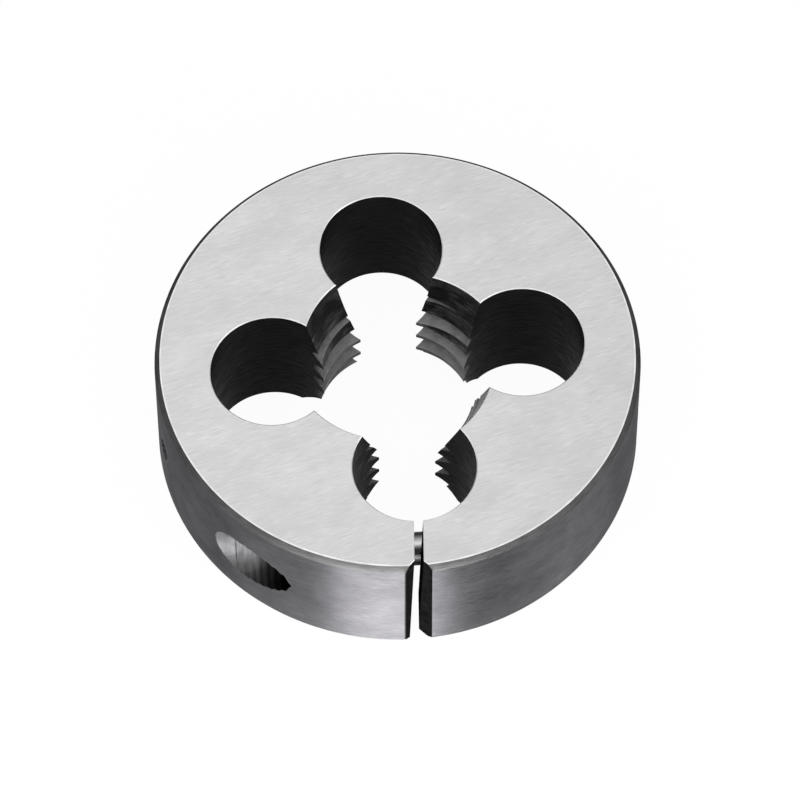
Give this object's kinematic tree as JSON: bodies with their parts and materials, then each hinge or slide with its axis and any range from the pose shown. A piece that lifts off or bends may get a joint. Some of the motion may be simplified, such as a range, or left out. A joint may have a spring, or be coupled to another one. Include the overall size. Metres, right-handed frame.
{
  "type": "round adjustable split threading die",
  "caption": "Round split threading die with chip holes, relieved cutting teeth and an adjusting screw across its slot, for cutting a right-hand outside thread.",
  "frame": {"origin": "centre of the back face, on the axis of the cutting thread", "axes": "+Z along the thread axis, out of the front face, which has the long lead; the adjusting slot is at -Y, and the adjusting screw lies along X, turned from -X"},
  "size_m": [0.0508, 0.0508, 0.0159],
  "materials": {
    "ground_steel": "hardened tool steel, surface ground on its faces and cylindrically ground on its rim",
    "screw_steel": "turned alloy steel, lightly oiled"
  },
  "bodies": {
    "die": {"die_body": "ground_steel"},
    "screw": {"adjusting_screw": "screw_steel"}
  },
  "joints": [
    {"name": "screw_turn", "type": "hinge", "parent": "die", "child": "screw", "pos_m": [0, -0.0185, 0.00768], "axis": [1, 0, 0], "range_deg": [-180, 90]}
  ]
}
